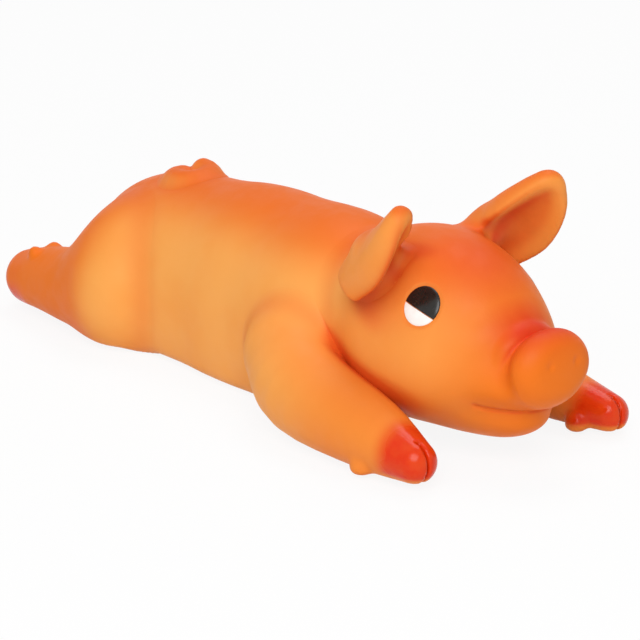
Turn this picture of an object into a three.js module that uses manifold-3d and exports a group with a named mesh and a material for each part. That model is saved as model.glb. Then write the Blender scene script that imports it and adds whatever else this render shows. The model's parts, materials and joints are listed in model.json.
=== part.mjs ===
// Rubber pig dog toy: a hollow latex pig lying on its belly, stuffed with wadding, with a squeaker.
// Millimetres. +X points forward to the snout, +Y to the pig's left and +Z up. The belly lies on Z = 0.
import * as THREE from "three";
import { mergeVertices } from "three/addons/utils/BufferGeometryUtils.js";
import Module from "manifold-3d";

// Skin and clearances
const WALL = 2.2;
const GAP = 0.3;
const TURN_GAP = 0.6;
const LIMB_LIFT = 0.4;

// Chest: a round dome that the head nods on
const CHEST_RADIUS = 18.5;
const CHEST_X = 10;
const CHEST_Z = 17;

// Barrel of the body, full axes of an ellipsoid
const BARREL_LENGTH = 78;
const BARREL_WIDTH = 36.6;
const BARREL_HEIGHT = 49.4;
const BARREL_SETBACK = 23;
const BARREL_Z = 11.5;

// Rump
const RUMP_LENGTH = 49.4;
const RUMP_WIDTH = 35;
const RUMP_HEIGHT = 42;
const RUMP_SETBACK = 26;
const RUMP_Z = 12;

// Haunches, the swells that the rear legs turn in
const HAUNCH_LENGTH = 26;
const HAUNCH_WIDTH = 25.2;
const HAUNCH_HEIGHT = 32.4;
const HAUNCH_SETBACK = 53;
const HAUNCH_SPREAD = 9.9;
const HAUNCH_Z = 12.5;

// Back panel, the part of the skin that is pressed to squeak
const PANEL_LENGTH = 44;
const PANEL_WIDTH = 22;
const PANEL_AHEAD = 3;

// Neck opening between the hollow body and the hollow head
const NECK_RADIUS = 8;

// Skull and face
const SKULL_LENGTH = 44;
const SKULL_WIDTH = 34.4;
const SKULL_HEIGHT = 32;
const SKULL_AHEAD = 28;
const SKULL_Z = 23.8;
const BROW_LENGTH = 32.4;
const BROW_WIDTH = 26.4;
const BROW_HEIGHT = 25.2;
const BROW_AHEAD = 6;
const BROW_RISE = 1.2;
const CHEEK_LENGTH = 30;
const CHEEK_WIDTH = 17.6;
const CHEEK_HEIGHT = 19;
const CHEEK_AHEAD = 4;
const CHEEK_DROP = 8;
const CHEEK_SPREAD = 8;
const MUZZLE_RADIUS = 13;
const MUZZLE_TIP_RADIUS = 7.8;
const MUZZLE_START = 8;
const MUZZLE_LENGTH = 18;
const MUZZLE_DROP = 4.2;
const MUZZLE_RISE = 0.2;
const JAW_LENGTH = 27;
const JAW_WIDTH = 17.6;
const JAW_HEIGHT = 12;
const JAW_AHEAD = 15;
const JAW_DROP = 13.8;
const LIP_LENGTH = 22;
const LIP_WIDTH = 19.2;
const LIP_HEIGHT = 9.2;
const LIP_AHEAD = 22;
const LIP_DROP = 7.4;
const SNOUT_RADIUS = 7.9;
const SNOUT_THICKNESS = 7.6;
const SNOUT_EDGE = 3.4;
const SNOUT_AHEAD = 31.8;
const SNOUT_DROP = 3.8;
const NOSTRIL_RADIUS = 1.4;
const NOSTRIL_SPREAD = 2.8;

// Eyes, shallow domes on the skull: where they look and how they are painted
const EYE_RADIUS = 4;
const EYE_BULGE = 1.7;
const EYE_FORWARD = 0.514;
const EYE_OUTWARD = 0.758;
const EYE_UPWARD = 0.401;
const EYE_PUPIL_SLOPE = 30;

// Ears: a root on the skull from an upper to a lower end, and a cupped leaf
const EAR_UPPER_END = new THREE.Vector3(-0.36, 0.5, 0.79);
const EAR_LOWER_END = new THREE.Vector3(-0.02, 0.9, 0.43);
const EAR_DIRECTION = new THREE.Vector3(0.76, 0.14, 0.64);
const EAR_LENGTH = 22;
const EAR_WIDTH = 16;
const EAR_THICKNESS = 3.4;
const EAR_CUP = 0.03;
const EAR_LEAN = 0.2;
const EAR_ROOT_RADIUS = 2.5;
const EAR_ROOT_PROUD = 1.5;

// Front legs, stretched forward
const SHOULDER_RADIUS = 10;
const SHOULDER_SPREAD = 16;
const SHOULDER_Z = 12;
const FOREARM_RADIUS = 7.8;
const FOREARM_LENGTH = 20;
const FOREARM_TURN_OUT = 17.5;
const WRIST_RADIUS = 6;
const WRIST_LENGTH = 20;
const WRIST_TURN_OUT = 2.5;
const FRONT_HOOF_LENGTH = 16;
const FRONT_HOOF_AHEAD = 7;

// Rear legs, stretched backward
const HIP_RADIUS = 11.4;
const HIP_SPREAD = 12.9;
const HIP_SETBACK = 53;
const HIP_Z = 11.5;
const KNEE_RADIUS = 8.4;
const SHIN_LENGTH = 12.2;
const SHIN_TURN_OUT = 9.5;
const ANKLE_RADIUS = 6.7;
const ANKLE_LENGTH = 10;
const ANKLE_TURN_OUT = 0.6;
const REAR_HOOF_LENGTH = 14;
const REAR_HOOF_AHEAD = 5;

// Hooves
const HOOF_WIDTH = 12.6;
const HOOF_HEIGHT = 11.2;
const CLEFT_WIDTH = 0.8;
const CLEFT_DEPTH = 3;
const DEWCLAW_RADIUS = 1.9;
const DEWCLAW_SPREAD = 3.4;
const DEWCLAW_BEHIND = 7.5;

// Tail, a flat curl on top of the rump
const TAIL_RADIUS = 1.8;
const TAIL_CURL_RADIUS = 3.6;
const TAIL_RISE = 1.2;
const TAIL_TURN = 285;
const TAIL_SETBACK = 46.5;
const TAIL_STEPS = 12;

// Squeaker in the belly
const SQUEAKER_SETBACK = 34;
const FLANGE_RADIUS = 9;
const FLANGE_THICKNESS = 1.3;
const HOUSING_RADIUS = 7;
const HOUSING_HEIGHT = 9;
const HOUSING_WALL = 1.2;
const CAP_THICKNESS = 1.2;
const CAP_PLUG = 1.5;
const AIR_HOLE_RADIUS = 1.2;
const REED_BLOCK_RADIUS = 3;
const REED_BLOCK_HEIGHT = 5;
const REED_WIDTH = 3.6;
const REED_THICKNESS = 0.4;
const REED_CLAMP_HEIGHT = 2.6;

// Facets
const FORM_SIDES = 20;
const HOLLOW_SIDES = 16;
const LIMB_SIDES = 16;
const SMALL_SIDES = 12;
const MERGE = 1e-4;
const FAR = 200;

const wasm = await Module();
wasm.setup();

const degrees = THREE.MathUtils.degToRad;
const UP = new THREE.Vector3(0, 1, 0);

// A closed geometry as a solid that can be joined and cut
function solid(geometry) {
  const bare = geometry.clone();
  bare.deleteAttribute("normal");
  bare.deleteAttribute("uv");
  const merged = mergeVertices(bare, MERGE);
  const corners = merged.index.array;
  const triangles = [];
  for (let i = 0; i < corners.length; i += 3) {
    const [a, b, c] = corners.subarray(i, i + 3);
    if (a !== b && b !== c && c !== a) triangles.push(a, b, c);
  }
  const vertProperties = Float32Array.from(merged.attributes.position.array);
  const triVerts = Uint32Array.from(triangles);
  return new wasm.Manifold(new wasm.Mesh({ numProp: 3, vertProperties, triVerts }));
}

// A solid as a geometry again, seen from a given origin
function geometryOf(body, origin) {
  const { vertProperties, triVerts } = body.getMesh();
  const geometry = new THREE.BufferGeometry();
  geometry.setAttribute("position", new THREE.BufferAttribute(Float32Array.from(vertProperties), 3));
  geometry.setIndex(new THREE.BufferAttribute(Uint32Array.from(triVerts), 1));
  geometry.translate(-origin.x, -origin.y, -origin.z);
  geometry.computeVertexNormals();
  return geometry;
}

// An ellipsoid of full axes, grown by a margin
function ellipsoid(middle, [length, width, height], grow = 0, sides = FORM_SIDES) {
  const geometry = new THREE.SphereGeometry(1, sides, sides / 2);
  geometry.rotateX(Math.PI / 2);
  geometry.scale(length / 2 + grow, width / 2 + grow, height / 2 + grow);
  geometry.translate(middle.x, middle.y, middle.z);
  return solid(geometry);
}

function ball(middle, radius, sides = LIMB_SIDES) {
  return ellipsoid(middle, [2 * radius, 2 * radius, 2 * radius], 0, sides);
}

// A profile turned about the line from one point toward another
function turned(profile, from, toward, sides) {
  const geometry = new THREE.LatheGeometry(profile, sides);
  const along = toward.clone().sub(from).normalize();
  geometry.applyQuaternion(new THREE.Quaternion().setFromUnitVectors(UP, along));
  geometry.translate(from.x, from.y, from.z);
  return solid(geometry);
}

// Two balls with a straight taper between them
function limb(from, to, fromRadius, toRadius, sides = LIMB_SIDES) {
  const length = from.distanceTo(to);
  const lean = Math.asin((fromRadius - toRadius) / length);
  const steps = sides / 4;
  const profile = [new THREE.Vector2(0, -fromRadius)];
  for (let i = 1; i <= steps; i++) {
    const angle = -Math.PI / 2 + (lean + Math.PI / 2) * (i / steps);
    profile.push(new THREE.Vector2(fromRadius * Math.cos(angle), fromRadius * Math.sin(angle)));
  }
  for (let i = 0; i < steps; i++) {
    const angle = lean + (Math.PI / 2 - lean) * (i / steps);
    profile.push(new THREE.Vector2(toRadius * Math.cos(angle), length + toRadius * Math.sin(angle)));
  }
  profile.push(new THREE.Vector2(0, length + toRadius));
  return turned(profile, from, to, sides);
}

// A disc with rounded edges
function roundedDisc(from, to, radius, edge, sides = FORM_SIDES) {
  const length = from.distanceTo(to);
  const steps = sides / 4;
  const flat = radius - edge;
  const profile = [new THREE.Vector2(0, 0)];
  for (let i = 0; i <= steps; i++) {
    const angle = -Math.PI / 2 + (Math.PI / 2) * (i / steps);
    profile.push(new THREE.Vector2(flat + edge * Math.cos(angle), edge + edge * Math.sin(angle)));
  }
  for (let i = 0; i <= steps; i++) {
    const angle = (Math.PI / 2) * (i / steps);
    profile.push(new THREE.Vector2(flat + edge * Math.cos(angle), length - edge + edge * Math.sin(angle)));
  }
  profile.push(new THREE.Vector2(0, length));
  return turned(profile, from, to, sides);
}

// A plain cylinder between two points
function cylinder(from, to, radius, sides = SMALL_SIDES) {
  const length = from.distanceTo(to);
  const corners = [[0, 0], [radius, 0], [radius, length], [0, length]];
  return turned(corners.map(([x, y]) => new THREE.Vector2(x, y)), from, to, sides);
}

// An upright elliptical prism
function prism(x, length, width, low, high) {
  const outline = new THREE.Shape().absellipse(x, 0, length / 2, width / 2, 0, 2 * Math.PI);
  const sweep = { depth: high - low, bevelEnabled: false, curveSegments: FORM_SIDES };
  const geometry = new THREE.ExtrudeGeometry(outline, sweep);
  geometry.translate(0, 0, low);
  return solid(geometry);
}

function box(low, high) {
  const size = high.clone().sub(low);
  const middle = low.clone().add(high).divideScalar(2);
  return solid(new THREE.BoxGeometry(size.x, size.y, size.z).translate(middle.x, middle.y, middle.z));
}

// Everything above a level
const above = (level) => box(new THREE.Vector3(-FAR, -FAR, level), new THREE.Vector3(FAR, FAR, FAR));

const join = (solids) => solids.reduce((whole, piece) => whole.add(piece));
const at = (x, y, z) => new THREE.Vector3(x, y, z);

// Places that several pieces share
const chest = at(CHEST_X, 0, CHEST_Z);
const skull = at(CHEST_X + SKULL_AHEAD, 0, SKULL_Z);
const squeakerX = CHEST_X - SQUEAKER_SETBACK;
const panelX = CHEST_X - BARREL_SETBACK + PANEL_AHEAD;
const LEFT = 1;
const RIGHT = -1;

// A point on the skull in a direction given in shares of its half axes
function onSkull(direction, side) {
  const halfAxes = at(SKULL_LENGTH / 2, side * SKULL_WIDTH / 2, SKULL_HEIGHT / 2);
  return direction.clone().normalize().multiply(halfAxes).add(skull);
}

// Torso swells, grown outward or inward by a margin
function torsoForm(grow, sides) {
  const chestAxis = 2 * CHEST_RADIUS;
  const barrelAxes = [BARREL_LENGTH, BARREL_WIDTH, BARREL_HEIGHT];
  const rumpAxes = [RUMP_LENGTH, RUMP_WIDTH, RUMP_HEIGHT];
  const haunchAxes = [HAUNCH_LENGTH, HAUNCH_WIDTH, HAUNCH_HEIGHT];
  const haunches = [LEFT, RIGHT].map((side) => {
    const middle = at(CHEST_X - HAUNCH_SETBACK, side * HAUNCH_SPREAD, HAUNCH_Z);
    return ellipsoid(middle, haunchAxes, grow, sides);
  });
  return join([
    ...haunches,
    ellipsoid(at(CHEST_X - BARREL_SETBACK, 0, BARREL_Z), barrelAxes, grow, sides),
    ellipsoid(at(CHEST_X - BARREL_SETBACK - RUMP_SETBACK, 0, RUMP_Z), rumpAxes, grow, sides),
    ellipsoid(chest, [chestAxis, chestAxis, chestAxis], grow, sides),
  ]);
}

// Cloven hoof with two dewclaws, pointing forward or backward from its leg
function hoof(middle, length, forward, clawsUp) {
  const tipX = middle.x + forward * length / 2;
  const form = ellipsoid(middle, [length, HOOF_WIDTH, HOOF_HEIGHT], 0, LIMB_SIDES);
  const cleftEnds = [tipX - forward * CLEFT_DEPTH, tipX + forward * CLEFT_DEPTH].sort((a, b) => a - b);
  const cleftLow = at(cleftEnds[0], middle.y - CLEFT_WIDTH / 2, -FAR);
  const cleftHigh = at(cleftEnds[1], middle.y + CLEFT_WIDTH / 2, FAR);
  const cleft = box(cleftLow, cleftHigh);
  const clawX = middle.x - forward * DEWCLAW_BEHIND;
  const clawZ = middle.z + clawsUp * (HOOF_HEIGHT / 2 - DEWCLAW_RADIUS / 2);
  const claws = [-DEWCLAW_SPREAD, DEWCLAW_SPREAD].map((offset) =>
    ball(at(clawX, middle.y + offset, clawZ), DEWCLAW_RADIUS, SMALL_SIDES / 2));
  return { form, cleft, claws };
}

// Leg: a root ball and two tapering lengths that run along the ground to a hoof
function leg(plan, grow) {
  const { root, rootRadius, middleRadius, endRadius, lengths, turns, forward, side } = plan;
  const step = (from, length, turn, radius) => at(
    from.x + forward * length * Math.cos(degrees(turn)),
    from.y + side * length * Math.sin(degrees(turn)),
    radius + LIMB_LIFT,
  );
  const middle = step(root, lengths[0], turns[0], middleRadius);
  const end = step(middle, lengths[1], turns[1], endRadius);
  const sides = grow > 0 ? FORM_SIDES : LIMB_SIDES;
  const tapers = [
    limb(root, middle, rootRadius + grow, middleRadius + grow, sides),
    limb(middle, end, middleRadius + grow, endRadius + grow, sides),
  ];
  if (grow > 0) return join(tapers);
  const toeAt = at(end.x + forward * plan.hoofAhead, end.y, HOOF_HEIGHT / 2 + LIMB_LIFT);
  const toe = hoof(toeAt, plan.hoofLength, forward, plan.clawsUp);
  return join([...tapers, toe.form, ...toe.claws]).subtract(toe.cleft).intersect(above(LIMB_LIFT));
}

const shoulderAt = (side) => at(CHEST_X, side * SHOULDER_SPREAD, SHOULDER_Z);
const hipAt = (side) => at(CHEST_X - HIP_SETBACK, side * HIP_SPREAD, HIP_Z);

const frontLeg = (side, grow = 0) => leg({
  root: shoulderAt(side), rootRadius: SHOULDER_RADIUS, middleRadius: FOREARM_RADIUS, endRadius: WRIST_RADIUS,
  lengths: [FOREARM_LENGTH, WRIST_LENGTH], turns: [FOREARM_TURN_OUT, WRIST_TURN_OUT], forward: 1, side,
  hoofLength: FRONT_HOOF_LENGTH, hoofAhead: FRONT_HOOF_AHEAD, clawsUp: -1,
}, grow);

const rearLeg = (side, grow = 0) => leg({
  root: hipAt(side), rootRadius: HIP_RADIUS, middleRadius: KNEE_RADIUS, endRadius: ANKLE_RADIUS,
  lengths: [SHIN_LENGTH, ANKLE_LENGTH], turns: [SHIN_TURN_OUT, ANKLE_TURN_OUT], forward: -1, side,
  hoofLength: REAR_HOOF_LENGTH, hoofAhead: REAR_HOOF_AHEAD, clawsUp: 1,
}, grow);

// Tail curl lying on the rump, grown by a margin
function tailForm(grow) {
  const x = CHEST_X - TAIL_SETBACK;
  const rumpShare = (x - (CHEST_X - BARREL_SETBACK - RUMP_SETBACK)) / (RUMP_LENGTH / 2);
  const skinZ = RUMP_Z + (RUMP_HEIGHT / 2) * Math.sqrt(1 - rumpShare ** 2);
  const points = [];
  for (let i = 0; i <= TAIL_STEPS; i++) {
    const share = i / TAIL_STEPS;
    const angle = degrees(TAIL_TURN * share);
    const place = at(x - TAIL_CURL_RADIUS * Math.cos(angle), -TAIL_CURL_RADIUS * Math.sin(angle), skinZ);
    points.push(place.setZ(skinZ + TAIL_RISE * share));
  }
  const outline = new THREE.Shape().absarc(0, 0, TAIL_RADIUS + grow, 0, 2 * Math.PI);
  const extrudePath = new THREE.CatmullRomCurve3(points);
  const sweep = { extrudePath, steps: 2 * TAIL_STEPS, curveSegments: SMALL_SIDES / 4 };
  return solid(new THREE.ExtrudeGeometry(outline, sweep));
}

// Ends of an ear's root, which stands a little proud of the skull
function earRootEnds(side) {
  const upper = onSkull(EAR_UPPER_END, side);
  const lower = onSkull(EAR_LOWER_END, side);
  const proud = upper.clone().add(lower).divideScalar(2).sub(skull).setLength(EAR_ROOT_PROUD);
  return [upper.add(proud), lower.add(proud)];
}

function earRoot(side) {
  const [upper, lower] = earRootEnds(side);
  return upper.add(lower).divideScalar(2);
}

// Rounded root that an ear turns on, grown by a margin
function earRootForm(side, grow) {
  const [upper, lower] = earRootEnds(side);
  const inset = lower.clone().sub(upper).setLength(EAR_ROOT_RADIUS);
  const radius = EAR_ROOT_RADIUS + grow;
  return limb(upper.add(inset), lower.sub(inset), radius, radius, SMALL_SIDES);
}

// Ear: a leaf that starts in its root, leans along it and is cupped toward the face
function ear(side) {
  const leaf = new THREE.SphereGeometry(1, FORM_SIDES, SMALL_SIDES / 2);
  leaf.rotateX(Math.PI / 2);
  leaf.scale(EAR_WIDTH / 2, EAR_LENGTH / 2, EAR_THICKNESS / 2);
  leaf.translate(0, EAR_LENGTH / 2 - EAR_ROOT_RADIUS / 2, 0);
  const place = leaf.attributes.position;
  for (let i = 0; i < place.count; i++) {
    const across = place.getX(i);
    place.setX(i, across + EAR_LEAN * place.getY(i));
    place.setZ(i, place.getZ(i) + EAR_CUP * across ** 2);
  }
  const [upper, lower] = earRootEnds(side);
  const along = lower.sub(upper).normalize();
  const tip = at(EAR_DIRECTION.x, side * EAR_DIRECTION.y, EAR_DIRECTION.z);
  const out = tip.addScaledVector(along, -tip.dot(along)).normalize();
  const hollow = along.clone().cross(out).multiplyScalar(side);
  leaf.applyMatrix4(new THREE.Matrix4().makeBasis(along, out, hollow).setPosition(earRoot(side)));
  if (side === RIGHT) leaf.setIndex(Array.from(leaf.index.array).reverse());
  return earRootForm(side, 0).add(solid(leaf));
}

// Skull, brow and muzzle, grown outward or inward by a margin
function faceForm(grow, sides) {
  const muzzleZ = SKULL_Z - MUZZLE_DROP;
  const muzzleStart = at(skull.x + MUZZLE_START, 0, muzzleZ);
  const muzzleEnd = at(muzzleStart.x + MUZZLE_LENGTH, 0, muzzleZ + MUZZLE_RISE);
  const muzzle = limb(muzzleStart, muzzleEnd, MUZZLE_RADIUS + grow, MUZZLE_TIP_RADIUS + grow, sides);
  const browAt = at(skull.x + BROW_AHEAD, 0, SKULL_Z + BROW_RISE);
  const brow = ellipsoid(browAt, [BROW_LENGTH, BROW_WIDTH, BROW_HEIGHT], grow, sides);
  const cranium = ellipsoid(skull, [SKULL_LENGTH, SKULL_WIDTH, SKULL_HEIGHT], grow, sides);
  return join([cranium, brow, muzzle]);
}

// Head from outside: the face with cheeks, jaw and upper lip
function headForm() {
  const cheekAxes = [CHEEK_LENGTH, CHEEK_WIDTH, CHEEK_HEIGHT];
  const cheeks = [LEFT, RIGHT].map((side) =>
    ellipsoid(at(skull.x + CHEEK_AHEAD, side * CHEEK_SPREAD, SKULL_Z - CHEEK_DROP), cheekAxes));
  const jaw = ellipsoid(at(skull.x + JAW_AHEAD, 0, SKULL_Z - JAW_DROP), [JAW_LENGTH, JAW_WIDTH, JAW_HEIGHT]);
  const lip = ellipsoid(at(skull.x + LIP_AHEAD, 0, SKULL_Z - LIP_DROP), [LIP_LENGTH, LIP_WIDTH, LIP_HEIGHT]);
  return join([faceForm(0, FORM_SIDES), ...cheeks, jaw, lip]);
}

// Snout: a round pad with two shallow nostrils
function snoutForm() {
  const middle = at(skull.x + SNOUT_AHEAD, 0, SKULL_Z - SNOUT_DROP);
  const back = at(middle.x - SNOUT_THICKNESS / 2, 0, middle.z);
  const front = at(middle.x + SNOUT_THICKNESS / 2, 0, middle.z);
  const nostrils = [LEFT, RIGHT].map((side) =>
    ball(at(front.x + NOSTRIL_RADIUS / 2, side * NOSTRIL_SPREAD, front.z), NOSTRIL_RADIUS, SMALL_SIDES / 2));
  return { pad: roundedDisc(back, front, SNOUT_RADIUS, SNOUT_EDGE), nostrils: join(nostrils) };
}

// Eye dome on the skull, grown by a margin, split along the sloping edge of its black part
const eyeDirection = at(EYE_FORWARD, EYE_OUTWARD, EYE_UPWARD);

function eyeFrame(side) {
  const middle = onSkull(eyeDirection, side);
  const outward = at(
    (middle.x - skull.x) / SKULL_LENGTH ** 2,
    middle.y / SKULL_WIDTH ** 2,
    (middle.z - skull.z) / SKULL_HEIGHT ** 2,
  ).normalize();
  const level = at(0, 0, 1).cross(outward).normalize();
  const upright = outward.clone().cross(level);
  return new THREE.Matrix4().makeBasis(level, upright, outward).setPosition(middle);
}

function eyeDome(side, grow) {
  const geometry = new THREE.SphereGeometry(1, LIMB_SIDES, SMALL_SIDES / 2);
  geometry.rotateX(Math.PI / 2);
  geometry.scale(EYE_RADIUS + grow, EYE_RADIUS + grow, EYE_BULGE + grow);
  return solid(geometry.applyMatrix4(eyeFrame(side)));
}

function eyeHalf(side, upper) {
  const geometry = new THREE.BoxGeometry(FAR, FAR, FAR).translate(0, upper * (FAR + GAP) / 2, 0);
  geometry.rotateZ(degrees(side * EYE_PUPIL_SLOPE));
  return eyeDome(side, 0).intersect(solid(geometry.applyMatrix4(eyeFrame(side))));
}

// Squeaker pieces, stacked upward from the belly
const onSqueaker = (z) => at(squeakerX, 0, z);
const housingBase = GAP;
const housingTop = housingBase + FLANGE_THICKNESS + HOUSING_HEIGHT;
const boreRadius = HOUSING_RADIUS - HOUSING_WALL;
const reedBase = housingBase + FLANGE_THICKNESS + GAP;

function squeakerEnvelope(grow) {
  const flangeTop = housingBase + FLANGE_THICKNESS;
  const brimTop = housingTop + GAP + CAP_THICKNESS;
  return join([
    cylinder(onSqueaker(-FAR), onSqueaker(flangeTop + grow), FLANGE_RADIUS + grow, FORM_SIDES),
    cylinder(onSqueaker(-FAR), onSqueaker(brimTop + grow), HOUSING_RADIUS + grow, FORM_SIDES),
  ]);
}

function squeakerHousing() {
  const flangeTop = housingBase + FLANGE_THICKNESS;
  return cylinder(onSqueaker(housingBase), onSqueaker(flangeTop), FLANGE_RADIUS, FORM_SIDES)
    .add(cylinder(onSqueaker(housingBase), onSqueaker(housingTop), HOUSING_RADIUS, FORM_SIDES))
    .subtract(cylinder(onSqueaker(flangeTop), onSqueaker(FAR), boreRadius, FORM_SIDES))
    .subtract(cylinder(onSqueaker(-FAR), onSqueaker(FAR), AIR_HOLE_RADIUS));
}

function squeakerCap() {
  const brimBase = housingTop + GAP;
  const brimTop = brimBase + CAP_THICKNESS;
  return cylinder(onSqueaker(brimBase), onSqueaker(brimTop), HOUSING_RADIUS, FORM_SIDES)
    .add(cylinder(onSqueaker(brimBase - CAP_PLUG), onSqueaker(brimTop), boreRadius - GAP, FORM_SIDES))
    .subtract(cylinder(onSqueaker(-FAR), onSqueaker(FAR), AIR_HOLE_RADIUS));
}

// Half of the upright rod that holds the reed, on the chosen side of it
function reedHolder(facing, height) {
  const face = REED_THICKNESS / 2 + GAP;
  const near = at(squeakerX + (facing > 0 ? face : -FAR), -FAR, -FAR);
  const far = at(squeakerX + (facing > 0 ? FAR : -face), FAR, FAR);
  const rod = cylinder(onSqueaker(reedBase), onSqueaker(reedBase + height), REED_BLOCK_RADIUS);
  return rod.intersect(box(near, far));
}

function reedStrip() {
  const low = at(squeakerX - REED_THICKNESS / 2, -REED_WIDTH / 2, reedBase);
  const high = at(squeakerX + REED_THICKNESS / 2, REED_WIDTH / 2, reedBase + REED_BLOCK_HEIGHT);
  return box(low, high);
}

// Skins, cut by the larger and moving pieces they meet
const legRoom = join([LEFT, RIGHT].flatMap((side) => [frontLeg(side, TURN_GAP), rearLeg(side, TURN_GAP)]));
const outerTorso = torsoForm(0, FORM_SIDES).intersect(above(0));
const torsoHollow = torsoForm(-WALL, HOLLOW_SIDES).intersect(above(WALL));
const neck = cylinder(chest, at(FAR, 0, CHEST_Z), NECK_RADIUS, FORM_SIDES);
const shell = outerTorso.subtract(torsoHollow).subtract(tailForm(GAP));
const panelCut = prism(panelX, PANEL_LENGTH, PANEL_WIDTH, CHEST_Z, FAR);
const panelRoom = prism(panelX, PANEL_LENGTH + 2 * GAP, PANEL_WIDTH + 2 * GAP, CHEST_Z, FAR);
const torsoSkin = join([shell, squeakerBoss(0)])
  .subtract(panelRoom)
  .subtract(legRoom)
  .subtract(neck)
  .subtract(squeakerEnvelope(GAP));
const backSkin = shell.intersect(panelCut);

// Thicker ring of skin that grips the squeaker, grown by a margin
function squeakerBoss(grow) {
  const top = housingBase + FLANGE_THICKNESS + GAP + WALL + grow;
  return cylinder(onSqueaker(0), onSqueaker(top), FLANGE_RADIUS + GAP + WALL + grow, FORM_SIDES);
}

const earRoom = join([earRootForm(LEFT, TURN_GAP), earRootForm(RIGHT, TURN_GAP)]);
const nodRoom = ball(chest, CHEST_RADIUS + TURN_GAP, FORM_SIDES);
const snout = snoutForm();
const eyeRoom = join([eyeDome(LEFT, GAP), eyeDome(RIGHT, GAP)]);
const headHollow = faceForm(-WALL, HOLLOW_SIDES);
const headSkin = headForm()
  .subtract(headHollow)
  .add(snout.pad.subtract(headHollow))
  .subtract(snout.nostrils)
  .subtract(nodRoom)
  .subtract(earRoom)
  .subtract(eyeRoom);

const bodyFill = torsoForm(-WALL - GAP, HOLLOW_SIDES)
  .intersect(above(WALL + GAP))
  .subtract(legRoom)
  .subtract(squeakerEnvelope(2 * GAP))
  .subtract(squeakerBoss(GAP));
const headFill = faceForm(-WALL - GAP, HOLLOW_SIDES)
  .subtract(nodRoom)
  .subtract(earRoom)
  .subtract(eyeRoom);

// Looks
const LATEX = { color: 0xf29a50, roughness: 0.55, metalness: 0 };
const LATEX_LIMB = { color: 0xf1934a, roughness: 0.55, metalness: 0 };
const LATEX_EAR = { color: 0xe8702f, roughness: 0.55, metalness: 0 };
const WADDING = { color: 0xf3f1ea, roughness: 0.95, metalness: 0 };
const SQUEAKER_WHITE = { color: 0xf0efe8, roughness: 0.4, metalness: 0 };
const REED_BRASS = { color: 0xc9a24a, roughness: 0.35, metalness: 1 };
const EYE_WHITE = { color: 0xfdf9f4, roughness: 0.15, metalness: 0 };
const EYE_BLACK = { color: 0x1c1a19, roughness: 0.1, metalness: 0 };

// Bodies: one group for each, placed at the point that it turns or slides about
const pig = new THREE.Group();

function body(parent, pivot) {
  const group = new THREE.Group();
  group.userData.pivot = pivot;
  group.position.copy(pivot).sub(parent.userData.pivot ?? at(0, 0, 0));
  parent.add(group);
  return group;
}

function fit(group, name, form, look) {
  const mesh = new THREE.Mesh(geometryOf(form, group.userData.pivot), new THREE.MeshStandardMaterial(look));
  mesh.name = name;
  group.add(mesh);
}

const torso = body(pig, at(0, 0, 0));
fit(torso, "torso_skin", torsoSkin, LATEX);
fit(torso, "tail", tailForm(0), LATEX);
fit(torso, "body_fill", bodyFill, WADDING);
fit(torso, "squeaker_housing", squeakerHousing(), SQUEAKER_WHITE);
fit(torso, "squeaker_cap", squeakerCap(), SQUEAKER_WHITE);
fit(torso, "reed_block", reedHolder(1, REED_BLOCK_HEIGHT), SQUEAKER_WHITE);
fit(torso, "reed_clamp", reedHolder(-1, REED_CLAMP_HEIGHT), SQUEAKER_WHITE);
fit(torso, "reed", reedStrip(), REED_BRASS);

const back = body(torso, at(panelX, 0, CHEST_Z));
fit(back, "back_skin", backSkin, LATEX);

const head = body(torso, chest);
fit(head, "head_skin", headSkin, LATEX);
fit(head, "head_fill", headFill, WADDING);

for (const [side, word] of [[LEFT, "left"], [RIGHT, "right"]]) {
  fit(head, `eye_${word}_white`, eyeHalf(side, -1), EYE_WHITE);
  fit(head, `eye_${word}_black`, eyeHalf(side, 1), EYE_BLACK);
  fit(body(head, earRoot(side)), `ear_${word}`, ear(side), LATEX_EAR);
  fit(body(torso, shoulderAt(side)), `front_leg_${word}`, frontLeg(side), LATEX_LIMB);
  fit(body(torso, hipAt(side)), `rear_leg_${word}`, rearLeg(side), LATEX_LIMB);
}

// Centre the toy's length on the origin
const bounds = new THREE.Box3().setFromObject(pig);
pig.position.x = -(bounds.min.x + bounds.max.x) / 2;

export default pig;
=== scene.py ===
"""Looks of the rubber pig dog toy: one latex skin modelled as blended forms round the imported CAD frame."""
import json
import math

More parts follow.
